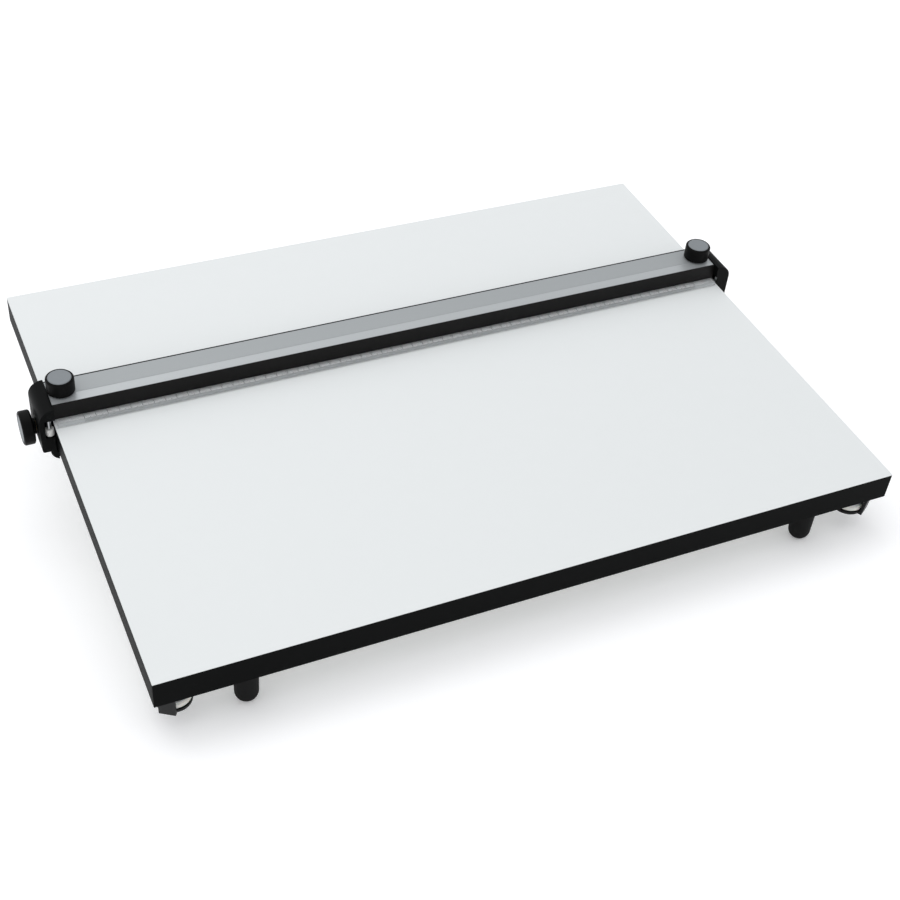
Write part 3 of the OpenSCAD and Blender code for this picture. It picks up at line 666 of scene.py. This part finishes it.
# acrylic: polished and clear; so thin a strip hardly bends light, so it is drawn as a pale glaze
acrylic = surface("polished_clear_acrylic", "f4f6f6", 0.08, grain=4, tone_spread=0.01,
                  rough_spread=0.02, bump=0.01, **{"Alpha": 0.15, "IOR": 1.49})
strip = copied("clear_scale")
strip.normal_update()
# the faces picked here take the second material, whose grey is painted shade
for face in strip.faces:    # the bevel is the face that looks both up and forward
    if face.normal.y < -0.3 and 0.3 < face.normal.z < 0.95:
        face.material_index = 1
scale_strip = finished("clear_bevelled_scale", strip, acrylic, "straightedge", "clear_acrylic",
                       "clear_scale", edge=0.12)
# the bevel is milled, so it is faintly frosted and rougher than the flat; its greyer, less clear
# colour is painted shade for the shadow under the strip's front edge
scale_strip.data.materials.append(surface(
    "acrylic_bevel_painted_shade", "a6aaab", 0.4, grain=0.4, stretch=(0.1, 1, 1), tone_spread=0.02,
    rough_spread=0.05, bump=0.05, **{"Alpha": 0.7, "IOR": 1.49}))

scale_low, scale_high = span("clear_scale")
BEVEL_BACK = 2.6      # depth of the bevel from front to back
BEVEL_FACE = 0.7      # height of the upright edge below the bevel
bevel_rise = scale_high.z - scale_low.z - BEVEL_FACE
bevel_angle = math.atan2(bevel_rise, BEVEL_BACK)
RULED = 600           # ruled length
ACROSS_BEVEL = 0.9    # length of the lines on the bevel, as a part of its face
INK_HEIGHT = 0.3      # height of the ink, as a part of the line's width
tick_tree, given = new_tree(
    "ruled_lines", lines=RULED + 1, gap=1.0, line_width=0.2, flat_width=0.36,
    bevel_length=math.hypot(BEVEL_BACK, bevel_rise), bevel_slope=bevel_angle,
    middle_length=1.0, long_length=3.2, flat_back=BEVEL_BACK / 2, flat_rise=bevel_rise / 2)
ink_height = math_node(tick_tree, "MULTIPLY", given["line_width"], INK_HEIGHT)
row = add(tick_tree, "GeometryNodeMeshLine", {"Start Location": (-RULED / 2, 0, 0)}, {
    "Count": given["lines"], "Offset": vector_node(tick_tree, X=given["gap"])}, mode="OFFSET")
bevel_line = add(tick_tree, "GeometryNodeMeshCube", links={"Size": vector_node(
    tick_tree, X=given["line_width"], Z=ink_height,
    Y=math_node(tick_tree, "MULTIPLY", given["bevel_length"], ACROSS_BEVEL))})
on_bevel = add(tick_tree, "GeometryNodeInstanceOnPoints", links={
    "Points": row.outputs[0], "Instance": bevel_line.outputs["Mesh"],
    "Rotation": vector_node(tick_tree, X=given["bevel_slope"])})
ticks = add(tick_tree, "GeometryNodeJoinGeometry")
tick_tree.links.new(on_bevel.outputs[0], ticks.inputs[0])
number = add(tick_tree, "GeometryNodeInputIndex").outputs[0]
for size, every in (("middle_length", 5), ("long_length", 10)):
    flat_line = add(tick_tree, "GeometryNodeMeshCube", links={"Size": vector_node(
        tick_tree, X=given["flat_width"], Y=given[size], Z=ink_height)})
    line_middle = math_node(tick_tree, "ADD", given["flat_back"], math_node(
        tick_tree, "MULTIPLY", given[size], 0.5))
    moved = add(tick_tree, "GeometryNodeTransform", links={
        "Geometry": flat_line.outputs["Mesh"],
        "Translation": vector_node(tick_tree, Y=line_middle, Z=given["flat_rise"])})
    on_flat = add(tick_tree, "GeometryNodeInstanceOnPoints", links={
        "Points": row.outputs[0], "Instance": moved.outputs[0],
        "Selection": each_nth(tick_tree, number, every)})
    tick_tree.links.new(on_flat.outputs[0], ticks.inputs[0])
closed_tree(tick_tree, ticks.outputs[0], given)

# engraving ink: flat black, very slightly raised, with its lines drawn about twice as wide as
# they are so that they show
ink = surface("black_engraving_ink", "141414", 0.6, grain=1, tone_spread=0.1, bump=0.02)
ruling = grown(tick_tree, point_mesh([(0, 0, 0)]), ink)
ruling.transform(Matrix.Translation((0, scale_low.y + BEVEL_BACK / 2,
                                     scale_high.z - bevel_rise / 2)))
finished("scale_ruled_lines", ruling, ink, "straightedge", "clear_acrylic")

NUMBER_HEIGHT = 2.2
LETTER_SIZE = 1.4     # size of the type, in heights of its digits
NUMBER_BACK = 3.3     # distance of the digits' feet behind the bevel
INK_HALF = 0.02       # half of the ink's thickness
INK_RISE = 0.01       # height of its middle above the strip
numbers = bmesh.new()
for centimetre in range(RULED // 10 + 1):
    text = bpy.data.curves.new("number", "FONT")
    text.body = str(centimetre)
    text.size = NUMBER_HEIGHT * LETTER_SIZE
    text.align_x = "CENTER"
    text.extrude = INK_HALF
    text.resolution_u = 2
    holder = bpy.data.objects.new("number", text)
    digits = bpy.data.meshes.new_from_object(holder)
    digits.transform(Matrix.Translation((centimetre * 10 - RULED / 2,
                                         scale_low.y + BEVEL_BACK + NUMBER_BACK,
                                         scale_high.z + INK_RISE)))
    numbers.from_mesh(digits)
    bpy.data.objects.remove(holder)
# the numbers are cut shallower, so their ink is thinner and paler
pale_ink = surface("thin_grey_engraving_ink", "6d7071", 0.6, grain=1, tone_spread=0.1, bump=0.02)
finished("scale_numbers", numbers, pale_ink, "straightedge", "clear_acrylic")


# ---------- carriages ----------
# Glass-filled black mouldings that wrap round the board's edges: a tongue inside the channel, a
# cheek outside and an arm below that clamps the wire. Brass inserts take the clamp studs.

# moulding: spark-eroded black, drawn at 1.2 mm so that it shows
moulding = surface("textured_black_moulding", "0b0c0c", 0.5, grain=1.2, tone_spread=0.2, bump=0.25,
                   height=0.05, **{"Specular IOR Level": 0.06})
# brass: turned, slightly dull
brass = surface("turned_brass", "c9a24a", 0.32, metal=1.0, grain=0.6, tone_spread=0.12, bump=0.05)
for hand in ("left", "right"):
    finished(hand + "_carriage_moulding", copied(hand + "_carriage"), moulding, "straightedge",
             "black_moulding", hand + "_carriage", edge=0.45)
    finished(hand + "_wire_clamp_plate", copied(hand + "_wire_clamp"), moulding, "straightedge",
             "black_moulding", hand + "_wire_clamp", edge=0.4)
dressed(brass, "clamp_inserts", "wire_ferrule", "brake_bush")
dressed(zinc, "roller_pins", "wire_clamp_screws")


# ---------- tension spring ----------
# A compression spring of 0.9 mm zinc-plated wire sits round the rope in the left arm and takes
# up its slack.

SPRING_WIRE = 0.45    # radius
SPRING_GAP = 0.5      # from each end of the spring to the middle of its wire
spring_low, spring_high = span("tension_spring")
spring_mid = (spring_low + spring_high) / 2
spring_length = spring_high.y - spring_low.y - 2 * SPRING_GAP
spring_tree, given = new_tree("wound_spring", wire_radius=SPRING_WIRE, turns=6.0,
                              coil_radius=2.8, coil_length=spring_length)
helix = add(spring_tree, "GeometryNodeCurveSpiral", {"Resolution": 40}, {
    "Rotations": given["turns"], "Start Radius": given["coil_radius"],
    "End Radius": given["coil_radius"], "Height": given["coil_length"]})
section = add(spring_tree, "GeometryNodeCurvePrimitiveCircle", {"Resolution": 12},
              {"Radius": given["wire_radius"]})
wound = add(spring_tree, "GeometryNodeCurveToMesh", {"Fill Caps": True}, {
    "Curve": helix.outputs[0], "Profile Curve": section.outputs["Curve"]})
closed_tree(spring_tree, wound.outputs[0], given)
spring = grown(spring_tree, point_mesh([(0, 0, 0)]), zinc)
spring.transform(Matrix.Translation((spring_mid.x, spring_low.y + SPRING_GAP, spring_mid.z))
                 @ Matrix.Rotation(-quarter, 4, "X"))
finished("wound_tension_spring", spring, zinc, "straightedge", "plated_steel", "tension_spring")


# ---------- guide rollers ----------
# Two white nylon rollers on steel pins run along each edge of the board and keep the
# straightedge square to it.

for corner in ("left_front", "left_back", "right_front", "right_back"):
    finished(corner + "_guide_roller", copied(corner + "_roller"), white_nylon,
             corner + "_guide", "white_nylon", corner + "_roller", edge=0.15)


# ---------- clamp knobs and brake ----------
# Black moulded knobs with a grey disc let into the face of each. The top two hold the channel
# down on the carriages, and the one at the left pushes a rubber shoe against the board's edge.

# knob moulding: satin black with a light grain
knob_black = surface("satin_black_knob", "080808", 0.45, grain=1.2, tone_spread=0.15, bump=0.12,
                     **{"Specular IOR Level": 0.08})
# inlaid disc: satin mid grey
cap_grey = surface("satin_grey_disc", "7f8487", 0.6, grain=1.0, tone_spread=0.05, bump=0.06)
CHAMFER_IN, CHAMFER_DOWN = 0.9, 0.45    # the disc's sloped rim
RIM_RADIUS = 0.3
for knob in ("left_clamp", "right_clamp", "brake"):
    finished(knob + "_knob_moulding", copied(knob + "_knob"), knob_black, knob, "black_knob",
             knob + "_knob", edge=0.5)
    low, high = span(knob + "_cap")
    middle, size = (low + high) / 2, high - low
    face_z, cap_r = min(size) / 2, max(size) / 2
    rim = rounded([(cap_r, face_z - CHAMFER_DOWN, 0), (cap_r - CHAMFER_IN, face_z, RIM_RADIUS),
                   (0, face_z, 0)], steps=3)
    disc = turned([(0, -face_z), (cap_r, -face_z)] + [tuple(p) for p in rim])
    facing = Matrix.Rotation(-quarter, 4, "Y") if knob == "brake" else Matrix.Identity(4)
    finished(knob + "_knob_disc", disc, cap_grey, knob, "grey_cap", knob + "_cap",
             place=Matrix.Translation(middle) @ facing)
dressed(zinc, "left_clamp_stud", "right_clamp_stud", "brake_stud")
# friction rubber: brown, matt and slightly crumbly
friction = surface("brown_friction_rubber", "4a2a18", 0.8, grain=0.8, tone_spread=0.3, bump=0.2)
dressed(friction, "brake_pad")
dressed(knob_black, "brake_pad_holder")
